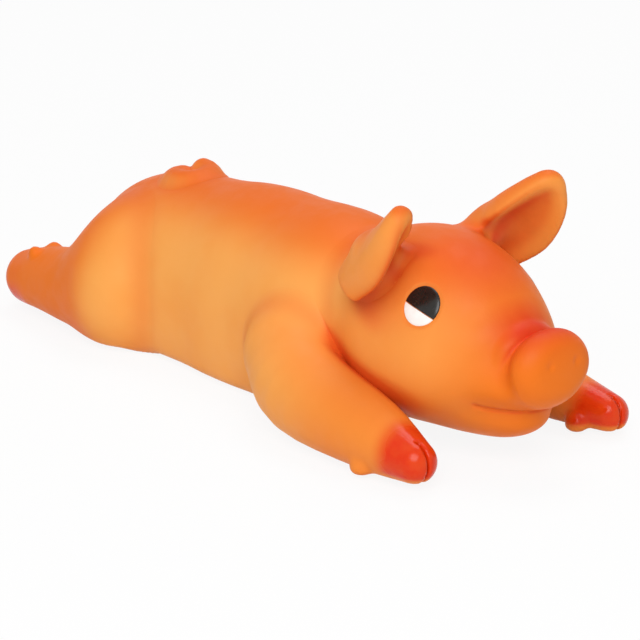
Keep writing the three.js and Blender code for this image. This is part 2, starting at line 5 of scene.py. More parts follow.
import bmesh
import bpy
import numpy as np
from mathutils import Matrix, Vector

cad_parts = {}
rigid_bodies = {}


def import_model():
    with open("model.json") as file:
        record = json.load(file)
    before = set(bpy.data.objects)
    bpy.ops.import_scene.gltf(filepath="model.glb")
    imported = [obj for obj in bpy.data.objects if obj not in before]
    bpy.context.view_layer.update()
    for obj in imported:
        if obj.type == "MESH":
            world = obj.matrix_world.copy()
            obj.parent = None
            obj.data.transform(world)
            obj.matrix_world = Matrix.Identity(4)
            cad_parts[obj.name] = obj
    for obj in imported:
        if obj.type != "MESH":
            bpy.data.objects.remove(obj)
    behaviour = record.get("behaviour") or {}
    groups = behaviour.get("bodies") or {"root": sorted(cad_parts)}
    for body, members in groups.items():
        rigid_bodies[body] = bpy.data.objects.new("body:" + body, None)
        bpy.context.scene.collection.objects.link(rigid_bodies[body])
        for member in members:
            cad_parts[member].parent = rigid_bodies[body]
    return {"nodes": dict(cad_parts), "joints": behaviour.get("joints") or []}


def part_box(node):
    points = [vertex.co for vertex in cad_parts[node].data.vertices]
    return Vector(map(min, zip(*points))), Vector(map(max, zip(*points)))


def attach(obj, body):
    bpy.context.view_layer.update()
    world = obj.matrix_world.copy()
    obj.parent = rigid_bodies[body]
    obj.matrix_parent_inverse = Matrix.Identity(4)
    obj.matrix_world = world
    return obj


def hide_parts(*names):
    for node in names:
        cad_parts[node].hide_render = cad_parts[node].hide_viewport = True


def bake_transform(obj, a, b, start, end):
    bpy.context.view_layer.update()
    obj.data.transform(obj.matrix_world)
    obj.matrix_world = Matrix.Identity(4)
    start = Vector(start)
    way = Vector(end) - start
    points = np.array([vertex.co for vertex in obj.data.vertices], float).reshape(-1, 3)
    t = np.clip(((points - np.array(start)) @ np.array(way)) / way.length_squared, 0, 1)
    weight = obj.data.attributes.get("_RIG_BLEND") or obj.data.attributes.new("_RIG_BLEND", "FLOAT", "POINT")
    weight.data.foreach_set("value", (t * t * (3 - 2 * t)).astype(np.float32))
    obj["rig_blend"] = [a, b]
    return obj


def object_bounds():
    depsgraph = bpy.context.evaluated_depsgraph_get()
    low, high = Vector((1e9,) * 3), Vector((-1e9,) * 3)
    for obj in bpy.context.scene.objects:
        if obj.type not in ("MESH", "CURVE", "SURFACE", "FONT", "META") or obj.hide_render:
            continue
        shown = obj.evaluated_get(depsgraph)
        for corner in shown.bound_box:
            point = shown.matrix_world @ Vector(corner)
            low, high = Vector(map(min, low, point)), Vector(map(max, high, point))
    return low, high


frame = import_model()
cad_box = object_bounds()

# Units: the forms are written in millimetres, and Blender works in metres.
MM = 0.001
TINY = 1e-9
MIRROR = np.array([1.0, -1.0, 1.0])


# Frame places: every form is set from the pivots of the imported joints.
def pivot(joint_name):
    joint = next(j for j in frame["joints"] if j["name"] == joint_name)
    return np.array(joint["pos_m"]) / MM


CHEST = pivot("head_nod")
SHOULDER = pivot("front_leg_left_splay")
HIP = pivot("rear_leg_left_splay")


def from_chest(x, y, z):
    return CHEST + np.array([x, y, z])


def from_shoulder(x, y, z):
    return SHOULDER + np.array([x, y, z])


def from_hip(x, y, z):
    return HIP + np.array([x, y, z])


# Torso: rump, barrel and chest on a flat belly, with the squeaker's hole.
TORSO_BLEND = 7.0
CHEST_AT, CHEST_RADII = from_chest(1.0, 0, -2.0), (19.0, 18.0, 20.5)
BARREL_AT, BARREL_RADII = from_chest(-18.0, 0, -5.5), (44.0, 18.2, 24.9)
RUMP_AT, RUMP_RADII = from_chest(-49.0, 0, -5.2), (24.5, 17.4, 20.7)
BELLY_EDGE = 3.0
HOLE_MARGIN, HOLE_EDGE = 0.4, 0.8

# Head: skull, cheeks, muzzle, jaw, snout pad, mouth, nostrils and eye sockets.
SKULL_AT, SKULL_RADII = from_chest(28.0, 0, 6.8), (22.0, 17.6, 16.0)
FACE_AT, FACE_NORMAL, FACE_BLEND = from_chest(38.2, 11.1, 12.4), (0.20, 0.92, 0.34), 5.0
BROW_AT, BROW_RADII, BROW_BLEND = from_chest(34.0, 0, 8.0), (15.8, 13.4, 12.6), 4.0
CHEEK_AT, CHEEK_RADII, CHEEK_BLEND = from_chest(32.0, 8.0, -1.2), (15.0, 9.0, 9.5), 8.0
MUZZLE_BACK, MUZZLE_FRONT = from_chest(38.0, 0, 1.8), from_chest(53.0, 0, 2.0)
MUZZLE_RADII, MUZZLE_BLEND = (11.0, 6.2), 8.0
JAW_AT, JAW_RADII, JAW_BLEND = from_chest(43.0, 0, -7.0), (13.5, 8.8, 6.0), 4.0
LIP_AT, LIP_RADII, LIP_BLEND = from_chest(50.0, 0, -0.6), (11.0, 9.6, 4.6), 3.5
PAD_AT, PAD_AXIS = from_chest(59.2, 0, 3.9), (1.0, 0, 0.06)
PAD_RADIUS, PAD_NARROWING, PAD_HALF, PAD_EDGE, PAD_DOME = 7.0, 0.8, 4.2, 3.0, 1.4
PAD_BLEND_TOP, PAD_BLEND_LOW = 0.5, 3.2
FOLD_AT, FOLD_RING, FOLD_RADIUS, FOLD_BLEND = from_chest(52.8, 0, 1.7), 6.5, 2.3, 1.0
NOSTRIL_AT, NOSTRIL_RADIUS, NOSTRIL_EDGE = from_chest(63.5, 3.2, 5.4), 0.4, 1.0
MOUTH_POINTS = (
    from_chest(49.0, 8.9, -4.1),
    from_chest(50.5, 8.4, -4.7),
    from_chest(54.0, 6.2, -4.9),
    from_chest(56.6, 3.2, -4.8),
    from_chest(57.4, 0, -4.7),
)
MOUTH_RADIUS, MOUTH_EDGE = 0.15, 1.0
EYE_DIRECTION = np.array([0.555, 0.715, 0.335])
EYE_RADIUS, EYE_BULGE, EYE_SINK = 3.85, 0.4, 0.3
SOCKET_RADIUS, SOCKET_EDGE = 0.3, 0.6
NECK_BLEND = 5.0

# Ears: cupped leaves that lean forward and out from the skull's side.
EAR_AT, EAR_TIP = from_chest(24.2, 15.2, 19.5), from_chest(39.8, 18.1, 32.6)
EAR_SIDE = (0.163, 0.903, -0.397)
EAR_OUTLINE = ((2.2, -1.5, 5.4), (1.2, 6.6, 6.9), (1.2, 13.0, 5.6), (0.7, 16.9, 3.7))
EAR_SPANS, RIGHT_EAR_TRIM = 4, 0.6
EAR_CUP, EAR_CUP_WIDTH, EAR_EDGE, EAR_BLEND = 6.0, 8.8, 2.0, 3.0
EAR_ROOT, EAR_ROOT_END = from_chest(24.0, 10.5, 16.0), 3.0
EAR_ROOT_RADII, EAR_ROOT_BLEND = (4.2, 2.4), 4.0

# Legs: thick roots that taper to the hooves. The left front leg is thinner than the right one.
FRONT_POINTS = (
    from_shoulder(4.4, 0.4, 0.6),
    from_shoulder(15.5, 5.6, -2.9),
    from_shoulder(36.0, 7.3, -5.2),
    from_shoulder(49.4, 7.8, -7.1),
)
FRONT_RADII, FRONT_BLEND = (9.3, 8.9, 7.0, 4.1), 4.5
LEFT_FRONT_POINTS = (
    from_shoulder(4.4, 0.4, 0.6),
    from_shoulder(15.5, 5.6, -3.6),
    from_shoulder(36.0, 5.9, -6.4),
    from_shoulder(49.4, 8.0, -8.1),
)
LEFT_FRONT_RADII = (9.3, 8.4, 5.8, 3.8)
REAR_POINTS = (
    from_hip(0, 0, -0.5),
    from_hip(-12.0, 2.0, -2.9),
    from_hip(-22.0, 2.1, -3.9),
    from_hip(-28.6, 2.3, -4.8),
)
REAR_RADII, REAR_BLEND = (11.8, 8.2, 6.7, 5.7), 3.4
HAUNCH_AT, HAUNCH_RADII, HAUNCH_BLEND = from_hip(0, -3.0, 1.0), (13.0, 12.6, 16.2), 5.0
LEG_SPANS = 4
SOLE_HEIGHT, SOLE_EDGE = 0.4, 1.5
CLEFT_HALF, CLEFT_DEPTH, CLEFT_EDGE = 0.2, 3.4, 0.8
DEWCLAW_BLEND = 1.2
FRONT_DEWCLAW = from_shoulder(39.0, 8.0, -9.9)
FRONT_DEWCLAW_SPREAD, FRONT_DEWCLAW_RADIUS = 3.8, 2.2
LEFT_FRONT_DEWCLAW = from_shoulder(46.0, 6.8, -9.9)
REAR_DEWCLAW = from_hip(-24.0, 2.8, 1.9)
REAR_DEWCLAW_SPREAD, REAR_DEWCLAW_RADIUS = 2.4, 1.3

# Tail: a short curl that lies on the rump.
TAIL_AT = from_chest(-47.8, 0, 15.0)
TAIL_CURL, TAIL_RADIUS, TAIL_RISE, TAIL_TURN = 3.5, 2.1, 1.6, 285.0
TAIL_STEPS, TAIL_BLEND = 14, 2.6

# Back: the patch that presses in, an oval on top of the torso.
BACK_AT, BACK_RADII = from_chest(-20.0, 0, 0), (20.5, 11.0)
BACK_WALL, BACK_PIT, BACK_PIT_SHARE, BACK_FULL_SHARE = 2.0, 11.5, 0.84, 0.25

# Seams: a limb's skin rises a hair over its parent's skin, which sinks beneath it.
LIFT, RIM_DIVE, RIM_WIDTH = 0.03, 0.4, 1.4
UNDER_DIVE, UNDER_WIDTH = 1.4, 5.0
BEND_WIDTH = {"limb": 10.0, "head": 9.0, "ear": 5.0}

# Mesh steps for each kind of piece, and how surfaces are found.
STEP = {"torso": 0.7, "back": 0.7, "head": 0.5, "ear": 0.4, "leg": 0.55, "tail": 0.4}
SEARCH_STEP, SEARCH_MARGIN, SEARCH_BAND = 2.0, 10.0, 4.0
NEWTON_STEPS = 3
SLOPE_STEP = 0.03
CHAIN_MARGIN = 12.0
RAY_REACH, RAY_HALVINGS = 40.0, 40


# Fields: signed distances in millimetres, negative inside.
def ellipsoid(p, centre, radii):
    q = (p - centre) / radii
    reach = np.linalg.norm(q, axis=-1)
    slope = np.linalg.norm(q / radii, axis=-1) + TINY
    return reach * (reach - 1) / slope


def segment(p, start, end):
    axis = end - start
    share = np.clip((p - start) @ axis / (axis @ axis), 0, 1)
    return np.linalg.norm(p - start - share[..., None] * axis, axis=-1)


def cone(p, start, end, start_radius, end_radius):
    """The hull of a ball at each end."""
    axis = end - start
    length = np.linalg.norm(axis)
    sine = (start_radius - end_radius) / length
    along = (p - start) @ axis / length
    across = np.sqrt(np.maximum(((p - start) ** 2).sum(-1) - along * along, 0))
    share = np.clip((along - across * sine / math.sqrt(1 - sine * sine)) / length, 0, 1)
    return np.hypot(along - share * length, across) - start_radius - share * (end_radius - start_radius)


def join(a, b, width):
    near = np.maximum(width - np.abs(a - b), 0) / width
    return np.minimum(a, b) - near * near * width / 4


def meet(a, b, width):
    return -join(-a, -b, width)


def carve(a, b, width):
    return meet(a, -b, width)


def rise(x, low, high):
    t = np.clip((x - low) / (high - low), 0, 1)
    return t * t * (3 - 2 * t)


def rounded_disc(p, centre, axis, radius, narrowing, half, edge, dome):
    """A disc with round edges and domed faces, wider in y by its narrowing."""
    axis = np.array(axis) / np.linalg.norm(axis)
    q = (p - centre) * (1, narrowing, 1)
    along = q @ axis
    across = np.sqrt(np.maximum((q * q).sum(-1) - along * along, 0))
    along = np.abs(along) + dome * (across / radius) ** 2
    out = across - radius + edge
    off = along - half + edge
    corner = np.hypot(np.maximum(out, 0), np.maximum(off, 0))
    return np.minimum(np.maximum(out, off), 0) + corner - edge


def smooth_balls(points, radii, spans):
    """Balls along a smooth curve through the given ones, as rows of a place and a radius."""
    balls = np.column_stack([points, radii])
    before = np.concatenate([2 * balls[:1] - balls[1:2], balls[:-1]])
    after = np.concatenate([balls[1:], 2 * balls[-1:] - balls[-2:-1]])
    slopes = (after - before) / 2
    rows = []
    for i in range(len(balls) - 1):
        for t in np.arange(spans) / spans:
            rows.append(
                (1 + 2 * t) * (1 - t) ** 2 * balls[i]
                + t * (1 - t) ** 2 * slopes[i]
                + t * t * (3 - 2 * t) * balls[i + 1]
                - t * t * (1 - t) * slopes[i + 1]
            )
    return np.array(rows + [balls[-1]])


def chain(p, balls):
    """Round cones from ball to ball, worked out only for the points near them."""
    places, radii = balls[:, :-1], balls[:, -1]
    middle = places.mean(0)
    reach = (np.linalg.norm(places - middle, axis=1) + radii).max()
    form = np.linalg.norm(p - middle, axis=-1) - reach
    near = form < CHAIN_MARGIN
    cones = [cone(p[near], a[:-1], b[:-1], a[-1], b[-1]) for a, b in zip(balls, balls[1:])]
    form[near] = np.minimum.reduce(cones)
    return form


def folded(p):
    """The point on the left half that mirrors p."""
    q = p.copy()
    q[..., 1] = np.abs(q[..., 1])
    return q


def torso_form(p):
    body = join(ellipsoid(p, BARREL_AT, BARREL_RADII), ellipsoid(p, RUMP_AT, RUMP_RADII), TORSO_BLEND)
    body = join(body, ellipsoid(p, CHEST_AT, CHEST_RADII), TORSO_BLEND)
    return meet(body, -p[..., 2], BELLY_EDGE)


def face_form(p):
    q = folded(p)
    head = meet(ellipsoid(q, SKULL_AT, SKULL_RADII), (q - FACE_AT) @ FACE_NORMAL, FACE_BLEND)
    head = join(head, ellipsoid(q, BROW_AT, BROW_RADII), BROW_BLEND)
    head = join(head, ellipsoid(q, CHEEK_AT, CHEEK_RADII), CHEEK_BLEND)
    head = join(head, cone(q, MUZZLE_BACK, MUZZLE_FRONT, *MUZZLE_RADII), MUZZLE_BLEND)
    head = join(head, ellipsoid(q, JAW_AT, JAW_RADII), JAW_BLEND)
    head = join(head, ellipsoid(q, LIP_AT, LIP_RADII), LIP_BLEND)
    head = join(head, snout_fold(q), FOLD_BLEND)
    pad = rounded_disc(q, PAD_AT, PAD_AXIS, PAD_RADIUS, PAD_NARROWING, PAD_HALF, PAD_EDGE, PAD_DOME)
    height = rise(q[..., 2] - PAD_AT[2], -PAD_RADIUS / 2, PAD_RADIUS)
    return join(head, pad, PAD_BLEND_LOW + height * (PAD_BLEND_TOP - PAD_BLEND_LOW))


def snout_fold(p):
    """A fold of skin over the muzzle behind the pad, which thins out down its sides."""
    q = p - FOLD_AT
    ring = np.hypot(q[..., 1], q[..., 2]) - FOLD_RING
    return np.hypot(ring, q[..., 0]) - FOLD_RADIUS * rise(q[..., 2], -FOLD_RING / 4, FOLD_RING)


def surface_along(field, start, direction):
    """The point where a ray from inside a form leaves it."""
    direction = direction / np.linalg.norm(direction)
    low, high = 0.0, RAY_REACH
    for _ in range(RAY_HALVINGS):
        middle = (low + high) / 2
        inside = field((start + middle * direction)[None])[0] < 0
        low, high = (middle, high) if inside else (low, middle)
    return start + low * direction


def slope_of(field, p):
    steps = SLOPE_STEP * np.eye(3)
    return np.stack([field(p + s) - field(p - s) for s in steps], -1) / (2 * SLOPE_STEP)


def unit(v):
    return v / (np.linalg.norm(v, axis=-1, keepdims=True) + TINY)


EYE_AT = surface_along(face_form, SKULL_AT, EYE_DIRECTION)
EYE_NORMAL = unit(slope_of(face_form, EYE_AT[None])[0])


def settle(field, points):
    """Moves points down a field's slope onto its surface."""
    for _ in range(NEWTON_STEPS):
        slope = slope_of(field, points)
        points = points - field(points)[:, None] * slope / ((slope * slope).sum(-1, keepdims=True) + TINY)
    return points


MOUTH_LINE = settle(face_form, np.array(MOUTH_POINTS))


def head_form(p):
    q = folded(p)
    mouth = np.minimum.reduce([segment(q, a, b) for a, b in zip(MOUTH_LINE, MOUTH_LINE[1:])])
    head = carve(face_form(p), mouth - MOUTH_RADIUS, MOUTH_EDGE)
    nostril = np.linalg.norm(q - NOSTRIL_AT, axis=-1) - NOSTRIL_RADIUS
    head = carve(head, nostril, NOSTRIL_EDGE)
    around = q - EYE_AT
    off = around @ EYE_NORMAL
    ring = np.sqrt(np.maximum((around * around).sum(-1) - off * off, 0)) - EYE_RADIUS
    return carve(head, np.hypot(ring, off) - SOCKET_RADIUS, SOCKET_EDGE)


EAR_UP = unit(EAR_TIP - EAR_AT)
EAR_HOLLOW = unit(np.cross(EAR_SIDE, EAR_UP))
EAR_ACROSS = np.cross(EAR_UP, EAR_HOLLOW)
EAR_BALLS = smooth_balls(*np.hsplit(np.array(EAR_OUTLINE), [2]), EAR_SPANS)


def ear_places(p):
    """Across and along the ear, out of its cupped mid surface, and outside its outline."""
    q = p - EAR_AT
    across, along = q @ EAR_ACROSS, q @ EAR_UP
    outline = chain(np.stack([across, along], -1), EAR_BALLS)
    cup = EAR_CUP * (across / EAR_CUP_WIDTH) ** 2
    steepness = 2 * EAR_CUP * across / EAR_CUP_WIDTH ** 2
    return across, along, (q @ EAR_HOLLOW - cup) / np.sqrt(1 + steepness * steepness), outline


def ear_form(p, trim=0.0):
    _, _, off, outline = ear_places(p)
    leaf = np.hypot(np.maximum(outline + trim + EAR_EDGE, 0), off) - EAR_EDGE
    return join(leaf, cone(p, EAR_ROOT, EAR_AT + EAR_ROOT_END * EAR_UP, *EAR_ROOT_RADII), EAR_ROOT_BLEND)


def right_ear_form(p):
    return ear_form(p * MIRROR, RIGHT_EAR_TRIM)


def leg_form(p, points, radii, dewclaw, dewclaw_spread, dewclaw_radius):
    leg = chain(p, smooth_balls(points, radii, LEG_SPANS))
    side = np.abs(p[..., 1] - dewclaw[1]) - dewclaw_spread
    claw = np.sqrt((p[..., 0] - dewclaw[0]) ** 2 + side ** 2 + (p[..., 2] - dewclaw[2]) ** 2)
    leg = join(leg, claw - dewclaw_radius, DEWCLAW_BLEND)
    toe = points[-1]
    ahead = np.sign(toe[0] - points[0][0])
    forward = ahead * (p[..., 0] - toe[0])
    cleft = np.maximum(np.abs(p[..., 1] - toe[1]) - CLEFT_HALF, radii[-1] - CLEFT_DEPTH - forward)
    leg = carve(leg, cleft, CLEFT_EDGE)
    return meet(leg, SOLE_HEIGHT - p[..., 2], SOLE_EDGE)


def right_front_leg_form(p):
    claw = FRONT_DEWCLAW, FRONT_DEWCLAW_SPREAD, FRONT_DEWCLAW_RADIUS
    return leg_form(p * MIRROR, FRONT_POINTS, FRONT_RADII, *claw)


def left_front_leg_form(p):
    claw = LEFT_FRONT_DEWCLAW, FRONT_DEWCLAW_SPREAD, FRONT_DEWCLAW_RADIUS
    return leg_form(p, LEFT_FRONT_POINTS, LEFT_FRONT_RADII, *claw)


def rear_leg_form(p):
    leg = leg_form(p, REAR_POINTS, REAR_RADII, REAR_DEWCLAW, REAR_DEWCLAW_SPREAD, REAR_DEWCLAW_RADIUS)
    leg = join(leg, ellipsoid(p, HAUNCH_AT, HAUNCH_RADII), HAUNCH_BLEND)
    return meet(leg, SOLE_HEIGHT - p[..., 2], SOLE_EDGE)


def tail_form(p):
    turns = np.radians(np.linspace(0, TAIL_TURN, TAIL_STEPS))
    ring = np.stack([-np.cos(turns), -np.sin(turns), np.zeros(TAIL_STEPS)], -1) * TAIL_CURL
    ring[:, 2] = TAIL_RISE * turns / turns[-1]
    points = TAIL_AT + ring
    strands = [cone(p, a, b, TAIL_RADIUS, TAIL_RADIUS) for a, b in zip(points, points[1:])]
    return np.minimum.reduce(strands)


def mirrored(form):
    return lambda p: form(p * MIRROR)


# Seams: each limb is a child form that grows out of its parent form.
class Limb:
    def __init__(self, parent, child, blend, bend):
        self.parent, self.child, self.blend, self.bend = parent, child, blend, bend

    def inside(self, p):
        """How far p is past the limb's seam, in millimetres."""
        return self.parent(p) - self.child(p) + self.blend

    def skin(self, p):
        return np.maximum(join(self.parent(p), self.child(p), self.blend), -p[..., 2])

    def solid(self, p):
        past = self.inside(p)
        skin = self.skin(p) - LIFT + RIM_DIVE * (1 - rise(past, 0, RIM_WIDTH))
        return np.maximum(skin, -past)

    def sink(self, p):
        """How far the parent's own skin lies under the limb's."""
        return UNDER_DIVE * rise(self.inside(p), RIM_WIDTH, RIM_WIDTH + UNDER_WIDTH)

    def weight(self, p):
        return rise(self.inside(p), RIM_WIDTH, RIM_WIDTH + self.bend)


limbs = {
    "head": Limb(torso_form, head_form, NECK_BLEND, BEND_WIDTH["head"]),
    "ear_left": Limb(head_form, ear_form, EAR_BLEND, BEND_WIDTH["ear"]),
    "ear_right": Limb(head_form, right_ear_form, EAR_BLEND, BEND_WIDTH["ear"]),
    "front_leg_left": Limb(torso_form, left_front_leg_form, FRONT_BLEND, BEND_WIDTH["limb"]),
    "front_leg_right": Limb(torso_form, right_front_leg_form, FRONT_BLEND, BEND_WIDTH["limb"]),
    "rear_leg_left": Limb(torso_form, rear_leg_form, REAR_BLEND, BEND_WIDTH["limb"]),
    "rear_leg_right": Limb(torso_form, mirrored(rear_leg_form), REAR_BLEND, BEND_WIDTH["limb"]),
    "tail": Limb(torso_form, tail_form, TAIL_BLEND, BEND_WIDTH["limb"]),
}
TORSO_CHILDREN = ("head", "front_leg_left", "front_leg_right", "rear_leg_left", "rear_leg_right", "tail")


def back_share(p):
    """0 at the middle of the back patch, 1 at its edge, and at least 1 under the chest's height."""
    q = (p - BACK_AT)[..., :2] / BACK_RADII
    return np.linalg.norm(q, axis=-1) + (p[..., 2] < CHEST[2])


def back_solid(p):
    past = (1 - back_share(p)) * BACK_RADII[1]
    skin = torso_form(p)
    outer = skin - LIFT + RIM_DIVE * (1 - rise(past, 0, RIM_WIDTH))
    return np.maximum(np.maximum(outer, -past), -skin - BACK_WALL)


def back_weight(p):
    return 1 - rise(back_share(p), BACK_FULL_SHARE, BACK_PIT_SHARE)


squeaker_low, squeaker_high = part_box("squeaker_housing")
SQUEAKER_AT = np.array((squeaker_low + squeaker_high) / 2) / MM
HOLE_RADIUS = (squeaker_high.x - squeaker_low.x) / 2 / MM + HOLE_MARGIN
HOLE_TOP = squeaker_high.z / MM + HOLE_MARGIN


def torso_solid(p):
    skin = torso_form(p)
    sunk = sum(limbs[name].sink(p) for name in TORSO_CHILDREN)
    share = back_share(p)
    sunk = sunk + UNDER_DIVE * rise((1 - share) * BACK_RADII[1], RIM_WIDTH, 2 * RIM_WIDTH)
    pit = np.maximum((share - BACK_PIT_SHARE) * BACK_RADII[1], -skin - BACK_PIT)
    across = np.hypot(p[..., 0] - SQUEAKER_AT[0], p[..., 1])
    hole = np.maximum(across - HOLE_RADIUS, p[..., 2] - HOLE_TOP)
    body = np.maximum(skin + sunk, -pit)
    return carve(body, hole, HOLE_EDGE)


def head_solid(p):
    ears = limbs["ear_left"].sink(p) + limbs["ear_right"].sink(p)
    return limbs["head"].solid(p) + ears


# Meshing: naive surface nets on a grid, then steps down the slope onto the skin.
CORNERS = [(i, j, k) for i in (0, 1) for j in (0, 1) for k in (0, 1)]


def grid_points(low, high, step):
    counts = np.ceil((high - low) / step).astype(int) + 1
    axes = [low[i] + step * np.arange(counts[i]) for i in range(3)]
    return np.stack(np.meshgrid(*axes, indexing="ij"), -1)


def grid_values(solid, step):
    """A solid's values on a fine grid, worked out only near its surface, and the grid's low corner."""
    low = np.array(cad_box[0]) / MM - SEARCH_MARGIN
    high = np.array(cad_box[1]) / MM + SEARCH_MARGIN
    coarse = solid(grid_points(low, high, SEARCH_STEP))
    filled = np.argwhere(coarse < SEARCH_STEP)
    fine_low = low + SEARCH_STEP * (filled.min(0) - 1)
    fine = grid_points(fine_low, low + SEARCH_STEP * (filled.max(0) + 1), step)
    nearest = np.rint((fine - low) / SEARCH_STEP).astype(int)
    values = coarse[tuple(np.moveaxis(np.minimum(nearest, np.array(coarse.shape) - 1), -1, 0))]
    near = np.abs(values) < SEARCH_BAND
    values[near] = solid(fine[near])
    return values, fine_low


def surface_nets(values, low, step):
    size = np.array(values.shape) - 1
    cells = [values[i:size[0] + i, j:size[1] + j, k:size[2] + k] for i, j, k in CORNERS]
    inside = sum((cell < 0).astype(int) for cell in cells)
    mixed = (inside > 0) & (inside < len(CORNERS))
    number = np.full(mixed.shape, -1)
    number[mixed] = np.arange(mixed.sum())
    at_corner = np.stack([cell[mixed] for cell in cells], 1)
    total, count = np.zeros((len(at_corner), 3)), np.zeros((len(at_corner), 1))
    for a, first in enumerate(np.array(CORNERS, float)):
        for b, second in enumerate(np.array(CORNERS, float)):
            if b <= a or np.abs(first - second).sum() != 1:
                continue
            start, end = at_corner[:, a], at_corner[:, b]
            crossed = (start < 0) != (end < 0)
            share = start[crossed] / (start[crossed] - end[crossed])
            total[crossed] += first + share[:, None] * (second - first)
            count[crossed] += 1
    points = low + step * (np.argwhere(mixed) + total / count)
    return points, np.concatenate([axis_quads(values < 0, number, axis) for axis in range(3)])


def axis_quads(inside, number, axis):
    """The quads round every grid edge along one axis that crosses the surface."""
    ahead = np.moveaxis(inside, axis, 0)
    edges = np.argwhere(ahead[:-1] != ahead[1:])
    leaving = ahead[:-1][tuple(edges.T)]
    cells = np.moveaxis(number, axis, 0)
    i, j, k = edges.T
    quads = np.stack([cells[i, j - 1, k - 1], cells[i, j, k - 1], cells[i, j, k], cells[i, j - 1, k]], 1)
    turned = leaving if axis != 1 else ~leaving
    return np.where(turned[:, None], quads, quads[:, ::-1])


def skin_mesh(name, solid, skin, step):
    """A closed mesh of a solid, with the skin's own slope as its normals, so that no seam shades."""
    values, low = grid_values(solid, step)
    points, quads = surface_nets(values, low, step)
    points = settle(solid, points)
    mesh = bpy.data.meshes.new(name)
    mesh.from_pydata((points * MM).tolist(), [], quads.tolist())
    mesh.validate()
    mesh.shade_smooth()
    on_skin = np.abs(skin(points)) < RIM_DIVE
    face_normals = np.zeros(len(points) * 3, np.float32)
    mesh.vertices.foreach_get("normal", face_normals)
    normals = np.where(on_skin[:, None], unit(slope_of(skin, points)), face_normals.reshape(-1, 3))
    mesh.normals_split_custom_set_from_vertices(normals.tolist())
    obj = bpy.data.objects.new(name, mesh)
    bpy.context.scene.collection.objects.link(obj)
    return obj, points, normals


def set_attribute(obj, name, values):
    layer = obj.data.attributes.get(name) or obj.data.attributes.new(name, "FLOAT", "POINT")
    layer.data.foreach_set("value", np.asarray(values, np.float32))


# Paint: masks for the airbrushed colours, and for painted shade in the creases and partly on the tops, from
# the same formulas on every piece.
ON_SKIN = 1.0
HOOF_PAINT_LENGTH, HOOF_PAINT_SOFT, HOOF_SOLE_SPAN = 8.5, 4.5, (1.7, 2.9)
REAR_HOOF_TOP, REAR_HOOF_TURN = 0.15, (-0.1, 0.6)
# Painted shade along the folds where limbs meet the body: its width and strength.
SEAM_SHADE_WIDTH, SEAM_SHADE_SHARE = 4.5, 0.34
REAR_DEEP_SPAN = (-5.0, 5.0)
FRONT_DEEP, FRONT_DEEP_SPAN = 0.6, (10.0, 34.0)
FACE_DEEP_SPAN = (30.0, 58.0)
CHIN_DEEP, CHIN_DEEP_SPAN, CHIN_DROP_SPAN = 0.7, (24.0, 40.0), (-4.0, 8.0)
HEAD_DEEP, HEAD_DEEP_SPAN, EAR_DEEP = 0.4, (14.0, 22.0), 0.4
# Tops that face up: a darker orange, partly the toy's airbrush and partly painted shade.
UPWARD_LOW, UPWARD_HEIGHT_SPAN, UPWARD_TURN = 0.3, (24.0, 34.0), (0.25, 1.0)

# Painted shade in the creases: how far out of the skin the open air is felt for, and the weight of each
# reach.
CREASE_SHADE_REACH = {1.0: 0.45, 2.5: 0.35, 6.0: 0.2}

# Blush: spots ahead of and above the chest, with their widths and strength, and the ears' hollows: red
# airbrush there, with painted shade deepened along the fold of each cup.
SNOUT_BLUSH = (56.0, 11.5), (6.0, 5.5, 12.0), 1.3
BROW_BLUSH = (40.0, 18.0), (10.0, 9.0, 11.0), 0.6
HOLLOW_BASE, HOLLOW_FOLD_SHADE, HOLLOW_FOLD_AT, HOLLOW_FOLD_WIDTH = 0.4, 0.4, -1.5, 2.6
HOLLOW_DEPTH_SPAN, HOLLOW_RIM_SPAN, HOLLOW_ROOT_SPAN = (0.0, 1.0), (1.8, 4.0), (-2.0, 3.0)
HOLLOW_REACH = 2.0


def whole_skin(p):
    """The outside of the whole pig."""
    q = folded(p)
    body, head = torso_form(p), head_form(p)
    parts = [
        join(body, head, NECK_BLEND),
        join(head, ear_form(q), EAR_BLEND),
        join(body, left_front_leg_form(p), FRONT_BLEND),
        join(body, right_front_leg_form(p), FRONT_BLEND),
        join(body, rear_leg_form(q), REAR_BLEND),
        join(body, tail_form(p), TAIL_BLEND),
    ]
    return np.minimum.reduce(parts)


def crease_shade_mask(points, normals):
    """How much of the open air over a point is shut off by the skin round it, as a mask of painted shade in
    the creases.
    """
    shut = [1 - np.clip(whole_skin(points + reach * normals) / reach, 0, 1) for reach in CREASE_SHADE_REACH]
    return np.average(shut, axis=0, weights=list(CREASE_SHADE_REACH.values()))


def seam_shade_mask(p):
    """A soft band of painted shade along each fold where a limb meets the body."""
    body = torso_form(p)
    bands = [np.exp(-((body - limbs[name].child(p)) / SEAM_SHADE_WIDTH) ** 2) for name in TORSO_CHILDREN]
    return SEAM_SHADE_SHARE * np.maximum.reduce(bands) * np.exp(-(body / SEAM_SHADE_WIDTH) ** 2)


def deep_mask(p):
    """The deeper orange towards the snout, the ears and the ends of the legs."""
    q = folded(p)
    ahead, _, height = (q - CHEST).T
    on_head = head_form(p) < ON_SKIN
    on_front_leg = np.minimum(left_front_leg_form(p), right_front_leg_form(p)) < ON_SKIN
    rear = rise(HIP[0] - q[:, 0], *REAR_DEEP_SPAN)
    front = FRONT_DEEP * rise(q[:, 0] - SHOULDER[0], *FRONT_DEEP_SPAN) * on_front_leg
    face = rise(ahead, *FACE_DEEP_SPAN) * on_head
    chin = CHIN_DEEP * rise(ahead, *CHIN_DEEP_SPAN) * rise(-height, *CHIN_DROP_SPAN) * on_head
    whole = HEAD_DEEP * rise(ahead, *HEAD_DEEP_SPAN) * on_head
    ear = EAR_DEEP * (ear_form(q) < ON_SKIN)
    return np.maximum.reduce([rear, front, face, chin, whole, ear])


